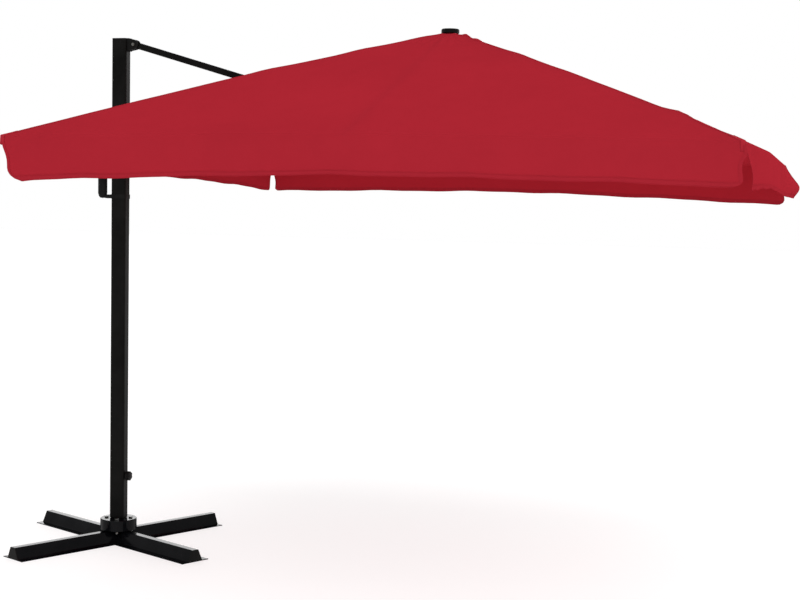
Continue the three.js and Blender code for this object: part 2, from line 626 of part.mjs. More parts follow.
// A sheet of quads (four corner numbers each, anticlockwise from outside) given a thickness inwards.
function thicken(points, quads, thick) {
  const normals = points.map(() => new THREE.Vector3());
  const edges = new Map();
  for (const quad of quads) {
    const [a, b, c, d] = quad.map((i) => points[i]);
    const normal = c.clone().sub(a).cross(d.clone().sub(b)).normalize();
    quad.forEach((i, k) => {
      normals[i].add(normal);
      edges.set(i + ',' + quad[(k + 1) % 4], [i, quad[(k + 1) % 4]]);
    });
  }
  const inner = points.map((p, i) => p.clone().addScaledVector(normals[i].normalize(), -thick));
  const n = points.length;
  const index = [];
  const face = (a, b, c, d) => index.push(a, b, c, a, c, d);
  for (const [a, b, c, d] of quads) {
    face(a, b, c, d);
    face(d + n, c + n, b + n, a + n);
  }
  for (const [a, b] of edges.values()) {
    if (!edges.has(b + ',' + a)) face(b, a, a + n, b + n);
  }
  const geometry = new THREE.BufferGeometry();
  geometry.setAttribute('position', new THREE.Float32BufferAttribute([...points, ...inner].flatMap((p) => [...p]), 3));
  geometry.setIndex(index);
  return geometry;
}

// One half of a sector lies between its spoke and the next cut line, 22.5 degrees on. `side` is the side of
// the square that it lies on, and t runs along that side from tFrom to tTo.
const CUT = Math.tan(22.5 * DEG);
const ROOF_ROWS = 9;
const VALANCE_ROWS = 5;
const HALF_COLUMNS = 5;

function sidePoint(side, s, lateral, z, out = 0) {
  const a = side * 90 * DEG;
  const x = s + out;
  return new THREE.Vector3(x * Math.cos(a) - lateral * Math.sin(a), x * Math.sin(a) + lateral * Math.cos(a), z);
}

// How far a valance's end stands back from the corner at this depth: a slit, and a rounded lower corner
function setBack(depth) {
  const low = Math.max(depth - (VALANCE.drop - VALANCE.corner), 0);
  const round = VALANCE.corner - Math.sqrt(VALANCE.corner ** 2 - low ** 2);
  return depth === 0 ? 0 : VALANCE.slit + round;
}

// `hand` is +1 or -1, the way along the side; a corner half runs from the cut line to the corner.
function halfSector(side, hand, corner) {
  const points = [];
  const rows = ROOF_ROWS + VALANCE_ROWS + 1;
  for (let row = 0; row < rows; row += 1) {
    for (let column = 0; column <= HALF_COLUMNS; column += 1) {
      const f = column / HALF_COLUMNS;
      const q = Math.min(row / ROOF_ROWS, 1);
      const s = PEAK_HOLE + (HALF - PEAK_HOLE) * q;
      const depth = (VALANCE.drop * Math.max(row - ROOF_ROWS, 0)) / VALANCE_ROWS;
      const cutLine = corner ? s * CUT + GAP / 2 : s * CUT - GAP / 2;
      const end = corner ? s - setBack(depth) : 0;
      const lateral = corner ? cutLine + (end - cutLine) * f : cutLine * (1 - f);
      const out = (VALANCE.flare * depth) / VALANCE.drop;
      points.push(sidePoint(side, s, hand * lateral, clothZ(s, lateral / s) - depth, out));
    }
  }
  return { points, rows, hand };
}

// The two halves share their common line, at the spoke, except below the rim of a corner.
function sector(spoke) {
  const corner = spoke % 2 === 1;
  const halves = corner
    ? [halfSector((spoke - 1) / 2, 1, true), halfSector((spoke + 1) / 2, -1, true)]
    : [halfSector(spoke / 2, -1, false), halfSector(spoke / 2, 1, false)];
  const points = [...halves[0].points, ...halves[1].points];
  const across = HALF_COLUMNS + 1;
  const number = (half, row, column) => {
    const shared = column === HALF_COLUMNS && (!corner || row <= ROOF_ROWS);
    return (half === 1 && !shared ? halves[0].points.length : 0) + row * across + column;
  };
  const quads = [];
  for (let half = 0; half < 2; half += 1) {
    for (let row = 0; row < halves[half].rows - 1; row += 1) {
      for (let column = 0; column < HALF_COLUMNS; column += 1) {
        const quad = [
          number(half, row, column), number(half, row + 1, column),
          number(half, row + 1, column + 1), number(half, row, column + 1),
        ];
        quads.push(half === 0 ? quad : quad.reverse());
      }
    }
  }
  const used = [...new Set(quads.flat())];
  const renumber = new Map(used.map((old, i) => [old, i]));
  return thicken(used.map((i) => points[i]), quads.map((quad) => quad.map((i) => renumber.get(i))), CLOTH);
}

for (let spoke = 0; spoke < 8; spoke += 1) {
  let sheet = sector(spoke);
  if (spoke === HIDDEN_SPOKE) {
    const pinX = strutFoot.x - HUB_X;
    sheet = cut(
      sheet,
      alongZ(roundRect(SLIT.back + SLIT.front, 2 * SLIT.half, 20), 2100, 2500)
        .translate(pinX + (SLIT.front - SLIT.back) / 2, 0, 0),
      box(-HALF - 60, -HALF + 30, -36, 36, 1800, MID_Z - 12),
    );
  }
  add(hub, 'canopy_' + spoke, sheet, cloth);
}

export default parasol;
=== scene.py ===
"""Cantilever parasol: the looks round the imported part. Metres, +Z up; the hub and its ribs stand at HUB_X.

The canopy is laid out as one continuous curved sheet and shares its points and normals from end to end. It is
then cut in eight, because each rib of the folding frame carries its own share of the cloth. The roof's middle
stays on the crown.
"""
import json
import math

import bmesh
import bpy
import numpy as np
from mathutils import Matrix, Vector, noise


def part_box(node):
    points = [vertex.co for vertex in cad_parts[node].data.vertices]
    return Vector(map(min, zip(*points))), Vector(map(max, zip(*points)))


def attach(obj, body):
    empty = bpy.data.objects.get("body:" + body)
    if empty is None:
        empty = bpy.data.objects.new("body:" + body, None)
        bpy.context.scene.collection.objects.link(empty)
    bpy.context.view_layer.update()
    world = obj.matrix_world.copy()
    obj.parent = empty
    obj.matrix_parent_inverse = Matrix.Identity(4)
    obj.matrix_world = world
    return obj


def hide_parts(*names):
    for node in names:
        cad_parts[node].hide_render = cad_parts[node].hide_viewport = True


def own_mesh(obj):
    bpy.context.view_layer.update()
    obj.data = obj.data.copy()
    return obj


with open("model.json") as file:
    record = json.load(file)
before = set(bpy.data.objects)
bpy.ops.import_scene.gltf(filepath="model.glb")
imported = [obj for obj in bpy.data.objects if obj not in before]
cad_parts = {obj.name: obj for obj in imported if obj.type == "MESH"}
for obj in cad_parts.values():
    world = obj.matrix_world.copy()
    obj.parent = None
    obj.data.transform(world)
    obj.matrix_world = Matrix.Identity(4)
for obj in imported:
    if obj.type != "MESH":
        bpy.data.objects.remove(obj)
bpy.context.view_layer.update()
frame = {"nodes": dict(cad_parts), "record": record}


def middle(node):
    low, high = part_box(node)
    return (low + high) / 2


# ---- Driving sizes ------------------------------------------------------------------------------------

HUB_X = middle("top_cap").x
HALF = 1.5  # half a side of the square roof
PEAK_Z, MID_Z, CORNER_Z = 2.606, 2.050, 2.033  # the cloth at the hub, and the rim's middles and corners
SAG = 0.009  # of the cloth between the ribs
ROLL = 0.06  # how softly the cloth turns over a middle rib, as a share of the way to the corner
SEAM_RISE, SEAM_EDGE = 0.0013, (0.006, 0.0085)  # the felled seam on a corner rib, and where its step is
BOW = 0.015  # rise of the cloth over a corner rib, above a straight line
PEAK_HOLE = 0.014
DROP = 0.186  # the valance's depth
HEM = 0.02
FLARE = 0.016  # how far the valance's hem stands out
CUT = math.tan(math.radians(22.5))  # where one rib's share of the cloth meets the next
HIDDEN_SPOKE = 4  # the spoke that the boom takes the place of

# The valance's free ends at the corners, by (side, hand along it). Sides 0 to 3 face +X, +Y, -X and -Y.
# start: how far down it leaves the corner; slant: how fast it then runs back; round: its lower corner's
# radius; out: how far it stands out; low: how much lower than DROP its hem is.
ENDS = {
    (3, -1): {"start": 0.0, "slant": 0.30, "round": 0.050, "out": 0.004, "low": 0.000},
    (3, 1): {"start": 0.045, "slant": 0.03, "round": 0.030, "out": 0.012, "low": -0.020},
    (0, -1): {"start": 0.045, "slant": 0.30, "round": 0.022, "out": 0.034, "low": -0.010},
    (0, 1): {"start": 0.0, "slant": 0.06, "round": 0.085, "out": 0.126, "low": -0.008},
    (1, -1): {"start": 0.0, "slant": 0.02, "round": 0.030, "out": 0.006, "low": 0.028},
    (1, 1): {"start": 0.0, "slant": 0.07, "round": 0.016, "out": 0.000, "low": 0.000},
    (2, -1): {"start": 0.0, "slant": 0.07, "round": 0.016, "out": 0.000, "low": 0.000},
    (2, 1): {"start": 0.0, "slant": 0.60, "round": 0.070, "out": -0.004, "low": 0.000},
}
MIDDLES = {0: -0.012, 1: -0.014, 2: -0.034, 3: -0.016}  # how much lower again the hem is in a side's middle
RIPPLES = {0: 0.005, 1: 0.009, 2: 0.007, 3: 0.008}  # how far the hem waves in and out, by side
CURLS = {0: 0.74, 1: 0.0, 2: 0.0, 3: 0.0}  # how far a flared end turns in again at its hem
END_REACH = 0.42  # how far from a corner its end's own shape fades out
GAP_OPENS = 0.03  # how far below its start the gap at a corner is fully open
GAP_LAP = 0.036  # how far two ends that meet run past the corner: none at the rim, and this at the hem
END_WAVE = 0.004  # unevenness of a free end

# Small humps of cloth on the ribs: (spoke, distance from the hub, height, length)
HUMPS = [
    (7, 1.76, 0.013, 0.075), (7, 0.15, 0.010, 0.03), (0, 0.135, 0.013, 0.03), (7, 0.62, 0.004, 0.08),
    (5, 0.475, 0.005, 0.09), (5, 0.93, 0.005, 0.10), (1, 0.14, 0.008, 0.03), (1, 1.72, 0.006, 0.08),
    (3, 0.52, 0.005, 0.10), (3, 1.70, 0.008, 0.08), (2, 0.14, 0.006, 0.03), (6, 0.14, 0.003, 0.03),
]


# ---- Shape of the cloth -------------------------------------------------------------------------------

def smooth(x, low, high):
    t = min(max((x - low) / (high - low), 0.0), 1.0)
    return t * t * (3 - 2 * t)


def bell(x, width):
    return math.exp(-((x / width) ** 2))


def to_world(side, out, along, z):
    """out runs from the hub square to the side, and along runs along it."""
    c, s = math.cos(side * math.pi / 2), math.sin(side * math.pi / 2)
    return Vector((HUB_X + out * c - along * s, out * s + along * c, z))


def wrinkles(x, y):
    """Unevenness of the stretched cloth: broad hollows, and short pulls from the hub and the corners."""
    r = math.hypot(x, y)
    angle = math.atan2(y, x)
    broad = 0.0035 * noise.noise(Vector((x * 1.7, y * 1.7, 3.1))) * smooth(r, 0.15, 0.7)
    fine = 0.0012 * noise.noise(Vector((x * 6.5, y * 6.5, 8.4))) * smooth(r, 0.1, 0.4)
    hub_pulls = 0.0022 * math.sin(24 * angle + 1.3) * bell(r - 0.16, 0.09)
    corner = math.hypot(abs(x) - HALF, abs(y) - HALF)
    toward = math.atan2(HALF - abs(y), HALF - abs(x))
    corner_pulls = 0.0032 * math.sin(15 * toward + 0.4 * math.sin(2 * angle)) * bell(corner - 0.2, 0.17)
    return broad + fine + hub_pulls + corner_pulls


def humps(x, y):
    total = 0.0
    for spoke, distance, height, length in HUMPS:
        a = spoke * math.pi / 4
        along = x * math.cos(a) + y * math.sin(a) - distance
        across = -x * math.sin(a) + y * math.cos(a)
        total += height * bell(along, length) * bell(across, length * 0.8)
    return total


def roof_z(side, s, u):
    """Height of the cloth at s out from the hub and u along the side."""
    t = min(abs(u) / s, 1.0)
    t = (math.hypot(t, ROLL) - ROLL) / (math.hypot(1.0, ROLL) - ROLL)
    rim = MID_Z + (CORNER_Z - MID_Z) * t
    q = s / HALF
    z = PEAK_Z + (rim - PEAK_Z) * q + math.sin(math.pi * min(q, 1.0)) * (BOW * t * t - SAG * 4 * t * (1 - t))
    to_seam = (s - abs(u)) / math.sqrt(2)
    seam = SEAM_RISE * (1 - smooth(to_seam, *SEAM_EDGE)) * smooth(s, 0.07, 0.1)
    p = to_world(side, s, u, 0.0)
    x, y = p.x - HUB_X, p.y
    free = 1 - smooth(s, HALF - 0.05, HALF)
    return z + seam + (wrinkles(x, y) + humps(x, y)) * free * smooth(s, 0.045, 0.075)


def end_shape(side, u, key):
    """One number of the valance's end shape here, faded from the nearer corner."""
    return ENDS[(side, 1 if u > 0 else -1)][key] * (1 - smooth(HALF - abs(u), 0.0, END_REACH))


def hem_low(side, u):
    """How much lower than DROP the hem hangs: from one end's depth to the other's, by way of the middle's."""
    t = (u / HALF + 1) / 2
    return ENDS[(side, -1)]["low"] * (1 - t) + ENDS[(side, 1)]["low"] * t + MIDDLES[side] * 4 * t * (1 - t)


def valance_point(side, u_rim, share, end_row):
    """A point of the valance below the rim's point u_rim; share is 0 at the rim and 1 at the hem."""
    hand = 1 if u_rim > 0 else -1
    end = ENDS[(side, hand)]
    low = hem_low(side, u_rim)
    ripple = 0.35 + 0.65 * noise.noise(Vector((side * 7.0, u_rim * 1.1, 0.5)))
    wave = math.sin(u_rim * 11.0 + side * 1.9) + 0.55 * math.sin(u_rim * 23.0 + side * 4.1)
    depth = (DROP + low + 0.0022 * wave * share) * share
    u = u_rim
    cut_u = HALF * CUT
    if abs(u_rim) > cut_u and end_row:
        stop = end["slant"] * max(depth - end["start"], 0.0)
        stop += END_WAVE * math.sin(depth * 52.0 + side) * smooth(depth, 0.0, 0.05)
        curve = max(depth - (DROP + end["low"] - end["round"]), 0.0)
        stop += end["round"] - math.sqrt(max(end["round"] ** 2 - curve ** 2, 0.0))
        closed = 1 - smooth(depth, end["start"], end["start"] + GAP_OPENS) if end["start"] > 0 else 0.0
        reach = HALF + GAP_LAP * share * closed - stop
        u = hand * (cut_u + (reach - cut_u) * (abs(u_rim) - cut_u) / (HALF - cut_u))
    from_end = smooth(HALF - abs(u_rim), 0.0, 0.2)
    out = FLARE * share + RIPPLES[side] * ripple * wave * share ** 1.3 * (0.4 + 0.6 * from_end)
    curl = CURLS[side] * smooth(share, 0.55, 1.05)
    out += end_shape(side, u_rim, "out") * share ** 1.3 * (1 - curl)
    if side == 2:
        out *= 0.4 + 0.6 * smooth(abs(u_rim), 0.04, 0.25)
    rim_z = roof_z(side, HALF, u_rim)
    return to_world(side, HALF + out, u, rim_z - depth)


# ---- The cloth's grid ---------------------------------------------------------------------------------

NEAR_SEAM = [0.0, 0.0025, 0.0055, 0.0085, 0.0125]
WIDE_COLUMNS = 13
ROOF_ROWS = (
    [PEAK_HOLE, 0.026, 0.04, 0.053, 0.066, 0.08, 0.094, 0.108, 0.122, 0.136, 0.15, 0.166, 0.185, 0.21]
    + [0.21 + (HALF - 0.05 - 0.21) * i / 34 for i in range(1, 35)]
    + [HALF - 0.035, HALF - 0.022, HALF - 0.012, HALF - 0.005, HALF - 0.002]
)
CROWN_ROWS = 5  # rows of the roof that stay on the crown
VALANCE_ROWS = [
    0.0, 0.012, 0.035, 0.075, 0.13, 0.2, 0.28, 0.37, 0.46, 0.55, 0.64, 0.72, 0.79, 0.85,
    1 - HEM / DROP, 0.95, 1.0,
]


def columns(width):
    """Distances from the spoke, close together at its seam and wide apart towards the next share."""
    shrink = min(1.0, width / (NEAR_SEAM[-1] * 2.5))
    near = [w * shrink for w in NEAR_SEAM]
    return near + [near[-1] + (width - near[-1]) * i / WIDE_COLUMNS for i in range(1, WIDE_COLUMNS + 1)]


def half_grid(side, hand, corner):
    """Rows of (point, u, v) from the hub to the hem, for one half of a rib's share of the cloth."""
    rows = []
    for s in ROOF_ROWS + [HALF]:
        cut_u = s * CUT
        us = [s - w for w in columns(s - cut_u)] if corner else columns(cut_u)
        rows.append([(to_world(side, s, hand * u, roof_z(side, s, hand * u)), hand * u, s) for u in us])
    rim_us = [HALF - w for w in columns(HALF - HALF * CUT)] if corner else columns(HALF * CUT)
    for share in VALANCE_ROWS[1:]:
        rows.append([
            (valance_point(side, hand * u, share, corner), hand * u, HALF + DROP * share) for u in rim_us
        ])
    return rows


class Sheet:
    """Points shared by place, and faces that know their spoke and their row and column."""

    def __init__(self, grain=0.00005):
        self.grain = grain  # points that round to the same multiple of this are one
        self.points, self.numbers = [], {}
        self.faces, self.marks, self.places, self.tags = [], [], [], []

    def number(self, point):
        key = tuple(round(c / self.grain) for c in point)
        if key not in self.numbers:
            self.numbers[key] = len(self.points)
            self.points.append(point)
        return self.numbers[key]

    def add_rows(self, rows, spoke, flip):
        """Joins rows of (point, u, v). The tags count rows from the rim, so the roof's are below 0."""
        roof_rows = len(ROOF_ROWS) + 1
        for i in range(len(rows) - 1):
            for j in range(len(rows[0]) - 1):
                ring = [rows[i][j], rows[i + 1][j], rows[i + 1][j + 1], rows[i][j + 1]]
                if flip:
                    ring.reverse()
                face, marks = [], []
                for point, u, v in ring:
                    n = self.number(point)
                    if n not in face:
                        face.append(n)
                        marks.append((u, v))
                if len(face) > 2:
                    self.faces.append(face)
                    self.marks.append(marks)
                    self.places.append(spoke)
                    self.tags.append((i - roof_rows + 1, j))

    def normals(self):
        points = np.array(self.points)
        total = np.zeros_like(points)
        for face in self.faces:
            a, c = points[face[0]], points[face[2]]
            b, d = points[face[1]], points[face[-1]]
            normal = np.cross(c - a, d - b)
            for n in face:
                total[n] += normal
        return total / np.maximum(np.linalg.norm(total, axis=1), 1e-12)[:, None]


def halves_of(spoke):
    """The (side, hand) of both halves of a rib's share: a corner rib's lie on two sides."""
    if spoke % 2 == 1:
        return [((spoke - 1) // 2, 1), ((spoke + 1) // 2 % 4, -1)]
    return [(spoke // 2, -1), (spoke // 2, 1)]


def lay_out_cloth():
    cloth = Sheet()
    for spoke in range(8):
        corner = spoke % 2 == 1
        for side, hand in halves_of(spoke):
            cloth.add_rows(half_grid(side, hand, corner), spoke, flip=corner == (hand < 0))
    return cloth


# ---- Making pieces ------------------------------------------------------------------------------------

def add_piece(name, points, faces, material, body, normals=None, marks=None, sharp=None):
    mesh = bpy.data.meshes.new(name)
    mesh.from_pydata([tuple(p) for p in points], [], faces)
    mesh.materials.append(material)
    mesh.polygons.foreach_set("use_smooth", [True] * len(faces))
    if marks is not None:
        layer = mesh.uv_layers.new(name="cloth")
        flat = [c for face in marks for mark in face for c in mark]
        layer.data.foreach_set("uv", flat)
    if normals is not None:
        mesh.normals_split_custom_set_from_vertices([tuple(n) for n in normals])
    elif sharp is not None:
        mesh.set_sharp_from_angle(angle=math.radians(sharp))
    piece = bpy.data.objects.new(name, mesh)
    bpy.context.scene.collection.objects.link(piece)
    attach(piece, body)
    return piece


def shell(points, faces, marks, normals, outward, inward):
    """A closed skin round a patch of the cloth, standing off it by outward and inward."""
    n = len(points)
    skin = [Vector(p) + Vector(m) * outward for p, m in zip(points, normals)]
    skin += [Vector(p) - Vector(m) * inward for p, m in zip(points, normals)]
    made = [list(f) for f in faces] + [[i + n for i in reversed(f)] for f in faces]
    made_marks = [list(m) for m in marks] + [list(reversed(m)) for m in marks]
    edges = {}
    for face, mark in zip(faces, marks):
        for k, a in enumerate(face):
            b = face[(k + 1) % len(face)]
            edges[(a, b)] = (mark[k], mark[(k + 1) % len(face)])
    for (a, b), (mark_a, mark_b) in edges.items():
        if (b, a) not in edges:
            made.append([b, a, a + n, b + n])
            made_marks.append([mark_b, mark_a, mark_a, mark_b])
    return skin, made, made_marks


def tube_faces(rings, sides, closed=False):
    """Faces of a tube of rings of points: a loop if closed, or else with a face over each end."""
    faces = []
    for i in range(rings if closed else rings - 1):
        for k in range(sides):
            a, b = i * sides, ((i + 1) % rings) * sides
            faces.append([a + k, a + (k + 1) % sides, b + (k + 1) % sides, b + k])
    if not closed:
        faces.append(list(reversed(range(sides))))
        faces.append([(rings - 1) * sides + k for k in range(sides)])
    return faces


def rounded_square(a, power):
    """The point at angle a on a square of half width 1. Its corners are rounder for a lower power."""
    c, s = math.cos(a), math.sin(a)
    size = (abs(c) ** power + abs(s) ** power) ** (1 / power)
    return c / size, s / size


def sweep(path, normals, wide, thick, closed=False, steps=10):
    """A flat band with rounded edges along path. Its face looks along normals."""
    count = len(path)
    points = []
    for i, (p, n) in enumerate(zip(path, normals)):
        before = path[i - 1] if closed or i > 0 else p
        after = path[(i + 1) % count] if closed or i < count - 1 else p
        along = (Vector(after) - Vector(before)).normalized()
        across = along.cross(Vector(n)).normalized()
        up = across.cross(along).normalized()
        for k in range(steps):
            c, s = rounded_square(2 * math.pi * k / steps, 4)
            points.append(Vector(p) + across * (wide / 2 * c) + up * (thick / 2 * s))
    return points, [list(reversed(f)) for f in tube_faces(count, steps, closed)]


def lathe(profile, centre, axis, sides=40):
    """A profile of (radius, height) points turned about axis through centre."""
    turn = Vector((0, 0, 1)).rotation_difference(Vector(axis)).to_matrix()
    points = []
    for r, h in profile:
        for k in range(sides):
            a = 2 * math.pi * k / sides
            points.append(Vector(centre) + turn @ Vector((r * math.cos(a), r * math.sin(a), h)))
    return points, tube_faces(len(profile), sides)


# ---- Materials ----------------------------------------------------------------------------------------

class Nodes:
    """A node tree, with short calls for the nodes used here."""

    def __init__(self, tree):
        self.tree = tree

    def node(self, kind, **inputs):
        made = self.tree.nodes.new("ShaderNode" + kind)
        for key, value in inputs.items():
            self.feed(made.inputs[key.replace("_", " ")], value)
        return made

    def feed(self, socket, value):
        if isinstance(value, bpy.types.NodeSocket):
            self.tree.links.new(value, socket)
        else:
            socket.default_value = value

    def math(self, operation, a, b=0.0, c=0.0):
        made = self.tree.nodes.new("ShaderNodeMath")
        made.operation = operation
        for socket, value in zip(made.inputs, (a, b, c)):
            self.feed(socket, value)
        return made.outputs[0]

    def spread(self, value, low, high, to_low, to_high, kind="LINEAR"):
        made = self.node("MapRange", Value=value)
        made.interpolation_type = kind
        for name, number in zip(("From Min", "From Max", "To Min", "To Max"), (low, high, to_low, to_high)):
            made.inputs[name].default_value = number
        return made.outputs["Result"]

    def blend(self, share, a, b):
        """Mixes two shaders."""
        made = self.node("MixShader", Fac=share)
        self.feed(made.inputs[1], a)
        self.feed(made.inputs[2], b)
        return made.outputs[0]


class Shader(Nodes):
    """A material's nodes."""

    def __init__(self, name, color, roughness, metallic=0.0, specular=0.5):
        self.material = bpy.data.materials.new(name)
        self.material.use_nodes = True
        super().__init__(self.material.node_tree)
        self.main = self.tree.nodes["Principled BSDF"]
        self.output = self.tree.nodes["Material Output"]
        self.main.inputs["Base Color"].default_value = (*color, 1)
        self.main.inputs["Roughness"].default_value = roughness
        self.main.inputs["Metallic"].default_value = metallic
        self.main.inputs["Specular IOR Level"].default_value = specular

    def place(self, name="Object"):
        return self.node("TexCoord").outputs[name]

    def noise(self, scale, detail=3.0, roughness=0.5, stretch=(1, 1, 1), place=None):
        moved = self.node("Mapping", Vector=place or self.place())
        moved.inputs["Scale"].default_value = stretch
        made = self.node("TexNoise", Vector=moved.outputs[0], Scale=scale, Detail=detail, Roughness=roughness)
        return made.outputs["Fac"]

    def mix(self, share, a, b):
        made = self.tree.nodes.new("ShaderNodeMix")
        made.data_type = "RGBA"
        for name, value in (("Factor_Float", share), ("A_Color", a), ("B_Color", b)):
            socket = next(i for i in made.inputs if i.identifier == name)
            self.feed(socket, (*value, 1) if isinstance(value, tuple) and len(value) == 3 else value)
        return next(o for o in made.outputs if o.identifier == "Result_Color")

    def bump(self, height, distance, strength=1.0, under=None):
        made = self.node("Bump", Height=height, Distance=distance, Strength=strength)
        if under is not None:
            self.feed(made.inputs["Normal"], under)
        return made.outputs["Normal"]


def cloth_material():
    """Dyed canvas: a plain weave, felled seams on the ribs with painted shade along their folds, rows of
    stitches, and a little uneven fading.
    """
    red, slubbed, deep = (0.405, 0.0205, 0.0335), (0.385, 0.0185, 0.0310), (0.32, 0.0060, 0.0105)
    thread_red = (0.36, 0.015, 0.026)
    stitch, yarn = 0.0045, 0.0011  # a stitch's length, and a pair of yarns' width
    m = Shader("parasol_canvas", red, 0.9, specular=0.0)
    uv = m.node("UVMap")
    uv.uv_map = "cloth"
    split = m.node("SeparateXYZ", Vector=uv.outputs[0])
    u, v = split.outputs[0], split.outputs[1]
    size = m.math("ABSOLUTE", u)
    to_diagonal = m.math("MULTIPLY", m.math("SUBTRACT", v, size), 1 / math.sqrt(2))
    along_diagonal = m.math("MULTIPLY", m.math("ADD", v, size), 1 / math.sqrt(2))
    on_roof = m.math("LESS_THAN", v, HALF - 0.0005)

    def line(distance, at, half_width):
        off = m.math("ABSOLUTE", m.math("SUBTRACT", distance, at))
        return m.spread(off, half_width, half_width * 1.6, 1.0, 0.0)

    def stitches(distance, at, along):
        beat = m.math("FRACT", m.math("DIVIDE", along, stitch))
        dash = m.spread(m.math("ABSOLUTE", m.math("SUBTRACT", beat, 0.5)), 0.34, 0.42, 1.0, 0.0)
        return m.math("MULTIPLY", line(distance, at, 0.0006), dash)

    rows = m.math("MAXIMUM", *[stitches(to_diagonal, at, along_diagonal) for at in (0.0020, 0.0052)])
    rows = m.math("MULTIPLY", rows, on_roof)
    for at in (HALF + DROP - HEM * 0.85, HALF + DROP - 0.003):
        rows = m.math("MAXIMUM", rows, stitches(v, at, u))
    folds = m.math("MULTIPLY", line(to_diagonal, 0.0075, 0.0008), on_roof)

    warp, weft = [m.math("SINE", m.math("MULTIPLY", way, 2 * math.pi / yarn)) for way in (u, v)]
    weave = m.math("MULTIPLY", warp, weft)
    slub = m.math("ADD", m.noise(900, 2.0, stretch=(0.05, 1, 1)), m.noise(900, 2.0, stretch=(1, 0.05, 1)))
    fade = m.noise(1.3, 4.0, 0.6)
    cloudy = m.noise(14, 3.0)
    shade = m.math("ADD", m.spread(fade, 0.3, 0.7, 0.955, 1.04), m.spread(cloudy, 0.3, 0.7, -0.012, 0.012))
    shade = m.math("ADD", shade, m.math("MULTIPLY", weave, 0.018))
    # Painted shade: the colour is darkened along the seams' fold lines, where the step of each felled seam
    # would shade the cloth.
    shade = m.math("MULTIPLY", shade, m.math("SUBTRACT", 1.0, m.math("MULTIPLY", folds, 0.12)))
    dyed = m.mix(m.spread(slub, 0.8, 1.2, 0.0, 0.35), red, slubbed)
    colour = m.mix(rows, dyed, thread_red)
    tint = m.node("HueSaturation", Color=colour, Value=shade)
    m.feed(m.main.inputs["Base Color"], tint.outputs[0])
    m.feed(m.main.inputs["Roughness"], m.spread(cloudy, 0.3, 0.7, 0.82, 0.9))
    raised = m.bump(m.math("ADD", weave, m.math("MULTIPLY", slub, 0.6)), 0.00016, 0.55)
    raised = m.bump(m.math("SUBTRACT", 0.0, m.math("MAXIMUM", rows, folds)), 0.0006, 0.7, raised)
    m.feed(m.main.inputs["Normal"], raised)
    through = m.node("BsdfTranslucent", Color=(*deep, 1), Normal=raised)
    m.feed(m.output.inputs["Surface"], m.blend(0.13, m.main.outputs[0], through.outputs[0]))
    return m.material


def webbing_material():
    """Red polyester tape: fine ribs across it, dyed to match the canvas."""
    m = Shader("edge_tape", (0.39, 0.019, 0.031), 0.85, specular=0.04)
    fine = m.noise(260, 2.0)
    broad = m.noise(9, 3.0)
    m.feed(m.main.inputs["Base Color"], m.mix(fine, (0.375, 0.018, 0.030), (0.405, 0.020, 0.033)))
    m.feed(m.main.inputs["Roughness"], m.spread(broad, 0.3, 0.7, 0.8, 0.9))
    wave = m.node("TexWave", Vector=m.place(), Scale=120.0, Distortion=0.6)
    m.feed(m.main.inputs["Normal"], m.bump(wave.outputs["Fac"], 0.0003, 0.6))
    return m.material


def coat_material(name, color, roughness, peel, wear, specular, coat=0.0):
    """Powder or gloss paint: orange peel, patches of dust, faint handling scuffs."""
    m = Shader(name, color, roughness, specular=specular)
    skin = m.noise(peel, 2.0, 0.5)
    dust = m.noise(7, 5.0, 0.65)
    scuff = m.noise(160, 3.0, 0.6, stretch=(1, 1, 0.06))
    scuffed = m.math("MULTIPLY", m.spread(scuff, 0.62, 0.7, 0.0, 1.0), m.spread(dust, 0.5, 0.62, 0.0, wear))
    lighter = tuple(min(c * 2.2 + 0.012, 1) for c in color)
    dusty = tuple(min(c * 1.25 + 0.0035, 1) for c in color)
    base = m.mix(m.spread(dust, 0.35, 0.7, 0.0, 1.0), color, dusty)
    m.feed(m.main.inputs["Base Color"], m.mix(scuffed, base, lighter))
    rough = m.spread(dust, 0.3, 0.7, roughness - 0.04, roughness + 0.07)
    m.feed(m.main.inputs["Roughness"], m.math("ADD", rough, m.math("MULTIPLY", scuffed, 0.2)))
    m.main.inputs["Coat Weight"].default_value = coat
    m.main.inputs["Coat Roughness"].default_value = 0.12
    m.feed(m.main.inputs["Normal"], m.bump(skin, 0.0004, 0.22))
    return m.material


def plastic_material(name, color, roughness, grain):
    """Moulded plastic: fine spark-eroded grain, faint flow marks, paler on handled spots."""
    m = Shader(name, color, roughness, specular=0.07)
    fine = m.noise(grain, 2.0, 0.6)
    flow = m.noise(22, 3.0, 0.6, stretch=(1, 1, 0.3))
    pale = tuple(min(c * 1.5 + 0.004, 1) for c in color)
    m.feed(m.main.inputs["Base Color"], m.mix(m.spread(flow, 0.4, 0.75, 0.0, 1.0), color, pale))
    m.feed(m.main.inputs["Roughness"], m.spread(flow, 0.3, 0.7, roughness - 0.06, roughness + 0.08))
    m.feed(m.main.inputs["Normal"], m.bump(fine, 0.0003, 0.35))
    return m.material


def steel_material():
    """Zinc-plated steel, dulled outdoors: faintly streaked, with a yellowish cast in places."""
    grey, yellowish = (0.16, 0.165, 0.17), (0.18, 0.17, 0.14)
    m = Shader("zinc_steel", grey, 0.4, metallic=1.0)
    streak = m.noise(300, 3.0, stretch=(1, 1, 0.1))
    cast = m.noise(60, 2.0)
    m.feed(m.main.inputs["Base Color"], m.mix(m.spread(cast, 0.4, 0.7, 0.0, 1.0), grey, yellowish))
    m.feed(m.main.inputs["Roughness"], m.spread(streak, 0.3, 0.7, 0.26, 0.44))
    m.feed(m.main.inputs["Normal"], m.bump(streak, 0.0002, 0.25))
    return m.material


